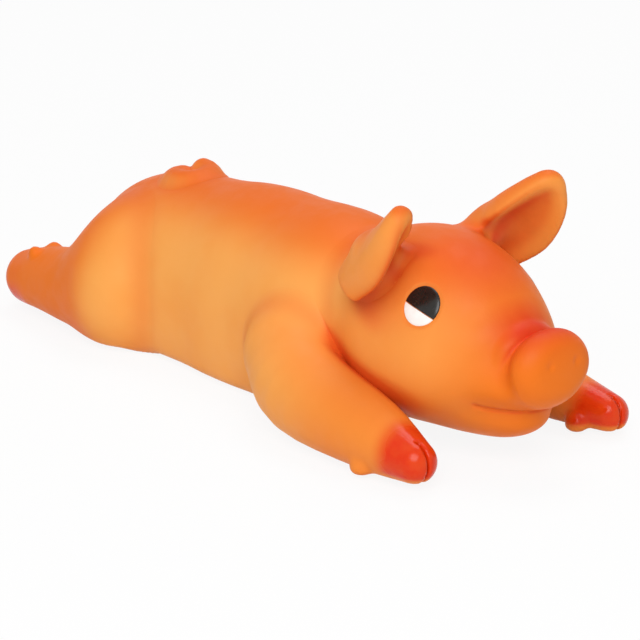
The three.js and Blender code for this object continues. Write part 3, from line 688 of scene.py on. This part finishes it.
def hoof_mask(p, normals):
    """Soft-edged paint on the ends of the hooves: down to the sole in front, and underneath at the rear."""
    q = folded(p)
    half = HOOF_PAINT_SOFT / 2
    on_front_leg = np.minimum(left_front_leg_form(p), right_front_leg_form(p)) < ON_SKIN
    past_front = q[:, 0] - FRONT_POINTS[-1][0] - FRONT_RADII[-1] + HOOF_PAINT_LENGTH
    front = rise(past_front, -half, half) * on_front_leg * rise(q[:, 2], *HOOF_SOLE_SPAN)
    past_rear = REAR_POINTS[-1][0] - REAR_RADII[-1] + HOOF_PAINT_LENGTH - q[:, 0]
    rear = rise(past_rear, -half, half) * (rear_leg_form(q) < ON_SKIN)
    underneath = REAR_HOOF_TOP + (1 - REAR_HOOF_TOP) * rise(-normals[:, 2], *REAR_HOOF_TURN)
    return np.maximum(front, rear * underneath)


def blush_spot(p, place, widths, strength):
    """A soft spot on the head, at a place ahead of and above the chest."""
    ahead, across, height = (p - CHEST).T
    far = ((ahead - place[0]) / widths[0]) ** 2 + ((height - place[1]) / widths[1]) ** 2
    return strength * np.exp(-far - (across / widths[2]) ** 2)


def blush_and_fold_shade_mask(p):
    q = folded(p)
    across, along, off, outline = ear_places(q)
    # The fold share is painted shade along the deepest line of the ear's cup; the base share is the red
    # airbrush inside the ear.
    fold = HOLLOW_BASE + HOLLOW_FOLD_SHADE * np.exp(-((across - HOLLOW_FOLD_AT) / HOLLOW_FOLD_WIDTH) ** 2)
    within = rise(off, *HOLLOW_DEPTH_SPAN) * rise(-outline, *HOLLOW_RIM_SPAN) * rise(along, *HOLLOW_ROOT_SPAN)
    hollow = fold * within * (ear_form(q) < HOLLOW_REACH)
    spots = [blush_spot(q, *SNOUT_BLUSH), blush_spot(q, *BROW_BLUSH), hollow]
    return np.clip(np.maximum.reduce(spots), 0, 1)


def paint(obj, points, normals):
    # The tops' mask: partly airbrush, partly painted shade.
    high = UPWARD_LOW + (1 - UPWARD_LOW) * rise(points[:, 2], *UPWARD_HEIGHT_SPAN)
    # The crease mask is painted shade: the air shut off round a point, and the folds where limbs meet the
    # body.
    set_attribute(obj, "crease_shade", np.maximum(crease_shade_mask(points, normals), seam_shade_mask(points)))
    set_attribute(obj, "deep", deep_mask(points))
    set_attribute(obj, "hoof", hoof_mask(points, normals))
    set_attribute(obj, "blush_and_fold_shade", blush_and_fold_shade_mask(points))
    set_attribute(obj, "upward_spray_and_shade", high * rise(normals[:, 2], *UPWARD_TURN))


# Colours as a picture shows them, from 0 to 255.
# The upward colour is darker orange on the tops, partly airbrush and partly painted shade.
PALE, PALE_MOTTLE, DEEP, UPWARD_SPRAY_AND_SHADE = (247, 169, 84), (245, 162, 76), (237, 118, 22), (232, 108, 26)
# The blush colour is airbrushed red, and in the ears' folds it is painted shade as well.
# The crease colour is painted shade for creases and folds.
CREASE_SHADE, BLUSH_AND_FOLD_SHADE, HOOF, PINHOLE = (222, 84, 22), (217, 56, 16), (222, 50, 6), (150, 70, 30)
EYE_WHITE, EYE_WHITE_FLECK = (252, 250, 246), (246, 243, 238)
EYE_BLACK, EYE_BLACK_FLECK = (26, 24, 22), (34, 31, 28)
PLASTIC, PLASTIC_CLOUD = (236, 234, 226), (226, 222, 212)
METAL, METAL_CLOUD = (196, 160, 96), (176, 140, 80)

# Latex: the noises' scales per metre, the spans they are spread over and how far each goes.
NOISE_SPAN = (0.3, 0.7)
MOTTLE_SCALE, MOTTLE_SPAN = 55.0, (0.35, 0.65)
# Painted shade in the creases: the span of its mask and how far it goes.
CREASE_SHADE_SPAN, CREASE_SHADE_SHARE = (0.08, 0.75), (0.0, 0.8)
SPRAY_SCALE, SPRAY_SPAN, SPRAY_SHARE = 420.0, (0.2, 0.8), (0.88, 1.0)
PINHOLE_SCALE, PINHOLE_RARE, PINHOLE_SPAN, PINHOLE_SHARE = 90.0, 0.8, (0.02, 0.045), 0.55
SATIN_SCALE, SATIN_ROUGHNESS, HOOF_GLOSS, LATEX_SPECULAR = 300.0, (0.48, 0.58), 0.32, 0.2
GRAIN_SCALE, GRAIN_STRENGTH, GRAIN_DEPTH = 1500.0, 0.06, 0.0004

# Eyes, plastic and metal.
EYE_FLECK_SCALE, EYE_SATIN_SCALE, EYE_ROUGHNESS = 700.0, 900.0, (0.20, 0.28)
EYE_SPECULAR, EYE_COAT, EYE_COAT_ROUGHNESS = 0.3, 0.1, 0.12
PLASTIC_CLOUD_SCALE, PLASTIC_SATIN_SCALE, PLASTIC_ROUGHNESS = 200.0, 500.0, (0.32, 0.45)
PLASTIC_GRAIN_SCALE, PLASTIC_GRAIN_STRENGTH, PLASTIC_GRAIN_DEPTH = 1200.0, 0.05, 0.0003
METAL_CLOUD_SCALE, METAL_SATIN_SCALE, METAL_ROUGHNESS = 400.0, 900.0, (0.25, 0.4)


# Places of the colour sockets on Blender's Mix node.
MIX_FIRST, MIX_SECOND, MIX_RESULT = 6, 7, 2


def linear(colour):
    """A colour as a picture shows it, as the shader's linear values, by the sRGB curve."""
    shown = np.array(colour) / 255
    value = np.where(shown <= 0.04045, shown / 12.92, ((shown + 0.055) / 1.055) ** 2.4)
    return (*value, 1.0)


class Shader:
    """A node tree with a Principled shader, and short calls for its nodes."""
    def __init__(self, name):
        self.material = bpy.data.materials.new(name)
        self.material.use_nodes = True
        self.nodes, self.links = self.material.node_tree.nodes, self.material.node_tree.links
        self.main = self.nodes["Principled BSDF"]

    def node(self, kind, **settings):
        made = self.nodes.new(kind)
        for key, value in settings.items():
            setattr(made, key, value)
        return made

    def feed(self, socket, value):
        if isinstance(value, bpy.types.NodeSocket):
            self.links.new(value, socket)
        else:
            socket.default_value = value

    def attribute(self, name):
        return self.node("ShaderNodeAttribute", attribute_name=name).outputs["Fac"]

    def place(self):
        return self.node("ShaderNodeTexCoord").outputs["Object"]

    def noise(self, scale, detail=2.0):
        made = self.node("ShaderNodeTexNoise")
        self.feed(made.inputs["Vector"], self.place())
        self.feed(made.inputs["Scale"], scale)
        self.feed(made.inputs["Detail"], detail)
        return made.outputs["Fac"]

    def math(self, operation, first, second=0.0):
        made = self.node("ShaderNodeMath", operation=operation)
        self.feed(made.inputs[0], first)
        self.feed(made.inputs[1], second)
        return made.outputs[0]

    def spread(self, value, low, high, to_low=0.0, to_high=1.0):
        made = self.node("ShaderNodeMapRange", interpolation_type="SMOOTHSTEP")
        for socket, item in zip(made.inputs, (value, low, high, to_low, to_high)):
            self.feed(socket, item)
        return made.outputs["Result"]

    def mix(self, share, first, second):
        made = self.node("ShaderNodeMix", data_type="RGBA")
        self.feed(made.inputs["Factor"], share)
        self.feed(made.inputs[MIX_FIRST], first)
        self.feed(made.inputs[MIX_SECOND], second)
        return made.outputs[MIX_RESULT]

    def bump(self, height, strength, distance):
        made = self.node("ShaderNodeBump")
        self.feed(made.inputs["Height"], height)
        self.feed(made.inputs["Strength"], strength)
        self.feed(made.inputs["Distance"], distance)
        self.links.new(made.outputs["Normal"], self.main.inputs["Normal"])

    def set(self, name, value):
        self.feed(self.main.inputs[name], value)


def latex_material():
    s = Shader("latex")
    mottle = s.spread(s.noise(MOTTLE_SCALE, detail=3.0), *MOTTLE_SPAN)
    pale = s.mix(mottle, linear(PALE), linear(PALE_MOTTLE))
    deep = s.mix(s.attribute("deep"), pale, linear(DEEP))
    # Tops darker orange: partly airbrush, partly painted shade.
    base = s.mix(s.attribute("upward_spray_and_shade"), deep, linear(UPWARD_SPRAY_AND_SHADE))
    # Painted shade in the creases and along the folds.
    crease_shade = s.spread(s.attribute("crease_shade"), *CREASE_SHADE_SPAN, *CREASE_SHADE_SHARE)
    shaded = s.mix(crease_shade, base, linear(CREASE_SHADE))
    spray = s.spread(s.noise(SPRAY_SCALE), *SPRAY_SPAN, *SPRAY_SHARE)
    # Blush and the ears' hollows; the share along each hollow's fold is painted shade.
    blushed = s.mix(s.math("MULTIPLY", s.attribute("blush_and_fold_shade"), spray), shaded, linear(BLUSH_AND_FOLD_SHADE))
    painted = s.mix(s.math("MULTIPLY", s.attribute("hoof"), spray), blushed, linear(HOOF))
    cells = s.node("ShaderNodeTexVoronoi")
    s.feed(cells.inputs["Vector"], s.place())
    s.feed(cells.inputs["Scale"], PINHOLE_SCALE)
    rare = s.math("GREATER_THAN", cells.outputs["Color"], PINHOLE_RARE)
    pinhole = s.math("MULTIPLY", s.spread(cells.outputs["Distance"], *PINHOLE_SPAN, 1.0, 0.0), rare)
    s.set("Base Color", s.mix(s.math("MULTIPLY", pinhole, PINHOLE_SHARE), painted, linear(PINHOLE)))
    rough = s.spread(s.noise(SATIN_SCALE), *NOISE_SPAN, *SATIN_ROUGHNESS)
    s.set("Roughness", s.math("SUBTRACT", rough, s.math("MULTIPLY", s.attribute("hoof"), HOOF_GLOSS)))
    s.set("Specular IOR Level", LATEX_SPECULAR)
    s.bump(s.math("SUBTRACT", s.noise(GRAIN_SCALE), pinhole), GRAIN_STRENGTH, GRAIN_DEPTH)
    return s.material


def eye_material(name, colour, fleck):
    s = Shader(name)
    s.set("Base Color", s.mix(s.spread(s.noise(EYE_FLECK_SCALE), *NOISE_SPAN), linear(colour), linear(fleck)))
    s.set("Roughness", s.spread(s.noise(EYE_SATIN_SCALE, detail=1.0), *NOISE_SPAN, *EYE_ROUGHNESS))
    s.set("Specular IOR Level", EYE_SPECULAR)
    s.set("Coat Weight", EYE_COAT)
    s.set("Coat Roughness", EYE_COAT_ROUGHNESS)
    return s.material


def plastic_material():
    s = Shader("squeaker_plastic")
    cloud = s.spread(s.noise(PLASTIC_CLOUD_SCALE, detail=3.0), *NOISE_SPAN)
    s.set("Base Color", s.mix(cloud, linear(PLASTIC), linear(PLASTIC_CLOUD)))
    s.set("Roughness", s.spread(s.noise(PLASTIC_SATIN_SCALE), *NOISE_SPAN, *PLASTIC_ROUGHNESS))
    s.bump(s.noise(PLASTIC_GRAIN_SCALE), PLASTIC_GRAIN_STRENGTH, PLASTIC_GRAIN_DEPTH)
    return s.material


def metal_material():
    s = Shader("reed_metal")
    cloud = s.spread(s.noise(METAL_CLOUD_SCALE), *NOISE_SPAN)
    s.set("Base Color", s.mix(cloud, linear(METAL), linear(METAL_CLOUD)))
    s.set("Metallic", 1.0)
    s.set("Roughness", s.spread(s.noise(METAL_SATIN_SCALE), *NOISE_SPAN, *METAL_ROUGHNESS))
    return s.material


latex = latex_material()
eye_white = eye_material("eye_white", EYE_WHITE, EYE_WHITE_FLECK)
eye_black = eye_material("eye_black", EYE_BLACK, EYE_BLACK_FLECK)
plastic = plastic_material()
metal = metal_material()


def add_piece(name, solid, skin, step, replaced):
    obj, points, normals = skin_mesh(name, solid, skin, STEP[step])
    obj.data.materials.append(latex)
    paint(obj, points, normals)
    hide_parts(*replaced)
    return obj, points


def bend_with(obj, points, parent, child, weight):
    """Blends a piece across a joint by the limb's own weight in place of a straight ramp."""
    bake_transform(obj, parent, child, start=(0, 0, 0), end=(0, 0, 1))
    set_attribute(obj, "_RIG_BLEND", weight(points))


torso, _ = add_piece("torso", torso_solid, torso_form, "torso", ["torso_skin", "body_fill"])
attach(torso, "torso")
back, back_points = add_piece("back", back_solid, torso_form, "back", ["back_skin"])
bend_with(back, back_points, "torso", "back", back_weight)
tail, _ = add_piece("curl_tail", limbs["tail"].solid, limbs["tail"].skin, "tail", ["tail"])
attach(tail, "torso")
head, head_points = add_piece(
    "head", head_solid, limbs["head"].skin, "head", ["head_skin", "head_fill"]
)
bend_with(head, head_points, "torso", "head", limbs["head"].weight)
for side in ("left", "right"):
    for node, parent, kind in (
        (f"ear_{side}", "head", "ear"),
        (f"front_leg_{side}", "torso", "leg"),
        (f"rear_leg_{side}", "torso", "leg"),
    ):
        limb = limbs[node]
        obj, points = add_piece(f"{node}.skin", limb.solid, limb.skin, kind, [node])
        bend_with(obj, points, parent, node, limb.weight)


# Eyes: a gloss dome, black above a sloping line and white below it.
EYE_SLOPE, EYE_SPLIT, EYE_GAP = -17.0, 0.25, 0.02
EYE_ROWS, EYE_COLUMNS, EYE_ROUNDNESS = 24, 48, 0.55
DOUBLE_DISTANCE, SLIVER_DISTANCE, SHARP_ANGLE = 0.01, 0.005, 50.0


def eye_points(upper):
    """Rows of chords from the dividing line to the rim, on the dome and then on the flat underneath."""
    level = unit(np.cross([0, 0, 1.0], EYE_NORMAL))
    upright = np.cross(EYE_NORMAL, level)
    slope = math.radians(EYE_SLOPE)
    along = math.cos(slope) * level - math.sin(slope) * upright
    across = np.cross(EYE_NORMAL, along)
    start, end = (EYE_GAP - EYE_SPLIT, 1.0) if upper else (-EYE_SPLIT - EYE_GAP, -1.0)
    rows = start + (end - start) * np.sin(np.linspace(0, math.pi / 2, EYE_ROWS))
    columns = np.sin(np.linspace(-math.pi / 2, math.pi / 2, EYE_COLUMNS))
    v, u = np.meshgrid(rows, columns, indexing="ij")
    u = u * np.sqrt(np.maximum(1 - v * v, 0))
    far = np.minimum(u * u + v * v, 1)
    height = (EYE_BULGE + EYE_SINK) * (1 - far) ** EYE_ROUNDNESS - EYE_SINK
    flat = EYE_AT + EYE_RADIUS * (u[..., None] * along + v[..., None] * across)
    top = flat + height[..., None] * EYE_NORMAL
    bottom = flat - 2 * EYE_SINK * EYE_NORMAL
    return np.concatenate([top.reshape(-1, 3), bottom.reshape(-1, 3)])


def eye_faces():
    """The quads of the dome, of the flat underneath and of the wall between them."""
    count = EYE_ROWS * EYE_COLUMNS
    number = np.arange(count).reshape(EYE_ROWS, EYE_COLUMNS)
    corners = number[:-1, :-1], number[1:, :-1], number[1:, 1:], number[:-1, 1:]
    sheet = np.stack(corners, -1).reshape(-1, 4)
    rim = np.concatenate([number[0, :-1], number[:-1, -1], number[-1, :0:-1], number[:0:-1, 0]])
    after = np.roll(rim, -1)
    wall = np.stack([rim, after, after + count, rim + count], -1)
    return np.concatenate([sheet, sheet[:, ::-1] + count, wall])


def eye_half(name, side_sign, upper, material, replaced):
    points = eye_points(upper)
    if side_sign < 0:
        points = points * MIRROR
    mesh = bpy.data.meshes.new(name)
    mesh.from_pydata((points * MM).tolist(), [], eye_faces().tolist())
    obj = bpy.data.objects.new(name, mesh)
    bpy.context.scene.collection.objects.link(obj)
    tidy_closed(obj)
    obj.data.materials.append(material)
    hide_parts(replaced)
    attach(obj, "head")


def tidy_closed(obj):
    """Joins doubled points, turns every face outward and shades smooth up to sharp edges."""
    work = bmesh.new()
    work.from_mesh(obj.data)
    bmesh.ops.remove_doubles(work, verts=work.verts, dist=DOUBLE_DISTANCE * MM)
    bmesh.ops.dissolve_degenerate(work, edges=work.edges, dist=SLIVER_DISTANCE * MM)
    bmesh.ops.recalc_face_normals(work, faces=work.faces)
    work.to_mesh(obj.data)
    work.free()
    obj.data.shade_smooth()
    obj.data.set_sharp_from_angle(angle=math.radians(SHARP_ANGLE))


for side, sign in (("left", 1), ("right", -1)):
    eye_half(f"eye_{side}_white.dome", sign, False, eye_white, f"eye_{side}_white")
    eye_half(f"eye_{side}_black.dome", sign, True, eye_black, f"eye_{side}_black")


# Squeaker: the CAD nodes keep their shape and get their finish.
for name, material in (
    ("squeaker_housing", plastic),
    ("squeaker_cap", plastic),
    ("reed_block", plastic),
    ("reed_clamp", plastic),
    ("reed", metal),
):
    slots = frame["nodes"][name].data.materials
    slots.clear()
    slots.append(material)


# Stage, in metres and watts: a pale floor that keeps the shadow, and each light's place, size and power.
FLOOR_SIZE, FLOOR_DROP = 6.0, 0.0002
FLOOR_GREY, FLOOR_ROUGHNESS, FLOOR_SPECULAR, FLOOR_WHITE = 0.9, 0.9, 0.1, 0.9
WORLD_STRENGTH = 0.37
LIGHT_TARGET = (0, 0, 0.02)
LIGHTS = {"key": ((0.5, -0.5, 0.6), 0.6, 5.2), "top": ((-0.15, 0.25, 0.8), 0.5, 2.0)}


def pale_floor():
    """A floor that looks white to the camera and keeps the part's shadow."""
    bpy.ops.mesh.primitive_plane_add(size=FLOOR_SIZE, location=(0, 0, -FLOOR_DROP))
    floor = bpy.context.object
    floor.name = "floor"
    s = Shader("floor")
    s.set("Base Color", (FLOOR_GREY, FLOOR_GREY, FLOOR_GREY, 1))
    s.set("Roughness", FLOOR_ROUGHNESS)
    s.set("Specular IOR Level", FLOOR_SPECULAR)
    rays = s.node("ShaderNodeLightPath")
    seen = s.math("MAXIMUM", rays.outputs["Is Camera Ray"], rays.outputs["Is Glossy Ray"])
    seen = s.math("MAXIMUM", seen, rays.outputs["Is Transmission Ray"])
    white = s.node("ShaderNodeEmission")
    mixed = s.node("ShaderNodeMixShader")
    s.links.new(s.math("MULTIPLY", seen, FLOOR_WHITE), mixed.inputs[0])
    s.links.new(s.main.outputs[0], mixed.inputs[1])
    s.links.new(white.outputs[0], mixed.inputs[2])
    s.links.new(mixed.outputs[0], s.nodes["Material Output"].inputs["Surface"])
    floor.data.materials.append(s.material)


def pale_world():
    """A soft world light that looks white to the camera, in gloss and through glass."""
    world = bpy.data.worlds.new("studio")
    bpy.context.scene.world = world
    world.use_nodes = True
    nodes, links = world.node_tree.nodes, world.node_tree.links
    rays = nodes.new("ShaderNodeLightPath")
    lit, seen = nodes["Background"], nodes.new("ShaderNodeBackground")
    mixed = nodes.new("ShaderNodeMixShader")
    lit.inputs["Color"].default_value = (1, 1, 1, 1)
    lit.inputs["Strength"].default_value = WORLD_STRENGTH
    seen.inputs["Color"].default_value = (1, 1, 1, 1)
    shares = rays.outputs["Is Camera Ray"]
    for kind in ("Is Glossy Ray", "Is Transmission Ray"):
        either = nodes.new("ShaderNodeMath")
        either.operation = "MAXIMUM"
        links.new(shares, either.inputs[0])
        links.new(rays.outputs[kind], either.inputs[1])
        shares = either.outputs[0]
    links.new(shares, mixed.inputs[0])
    links.new(lit.outputs[0], mixed.inputs[1])
    links.new(seen.outputs[0], mixed.inputs[2])
    links.new(mixed.outputs[0], nodes["World Output"].inputs["Surface"])


def soft_light(name, place, size, power):
    data = bpy.data.lights.new(name, "AREA")
    data.shape, data.size, data.energy = "DISK", size, power
    lamp = bpy.data.objects.new(name, data)
    bpy.context.scene.collection.objects.link(lamp)
    lamp.location = place
    lamp.rotation_euler = (Vector(LIGHT_TARGET) - Vector(place)).to_track_quat("-Z", "Y").to_euler()


# Camera: seen from the front right, a little above, through a long lens.
CAMERA_AZIMUTH, CAMERA_ELEVATION, CAMERA_DISTANCE = 51.0, 18.0, 900.0
CAMERA_TARGET = from_chest(-10.0, 0, 1.0)
PICTURE_SIZE, PICTURE_SCALE, PICTURE_CENTRE = 640, 5.15, (312, 292)
SENSOR_WIDTH = 36.0


def photo_camera():
    azimuth, elevation = math.radians(CAMERA_AZIMUTH), math.radians(CAMERA_ELEVATION)
    level = math.cos(elevation)
    back = np.array([math.sin(azimuth) * level, -math.cos(azimuth) * level, math.sin(elevation)])
    right = np.array([math.cos(azimuth), math.sin(azimuth), 0])
    up = np.cross(back, right)
    aside = (PICTURE_SIZE / 2 - PICTURE_CENTRE[0]) / PICTURE_SCALE
    below = (PICTURE_SIZE / 2 - PICTURE_CENTRE[1]) / PICTURE_SCALE
    aim = CAMERA_TARGET + aside * right - below * up
    data = bpy.data.cameras.new("camera")
    data.sensor_width = SENSOR_WIDTH
    data.lens = SENSOR_WIDTH * PICTURE_SCALE * CAMERA_DISTANCE / PICTURE_SIZE
    camera = bpy.data.objects.new("camera", data)
    bpy.context.scene.collection.objects.link(camera)
    camera.location = (aim + CAMERA_DISTANCE * back) * MM
    camera.rotation_euler = Vector(-back).to_track_quat("-Z", "Y").to_euler()
    bpy.context.scene.camera = camera


pale_floor()
pale_world()
for name, (place, size, power) in LIGHTS.items():
    soft_light(name, place, size, power)
photo_camera()
bpy.context.scene.view_settings.view_transform = "Standard"
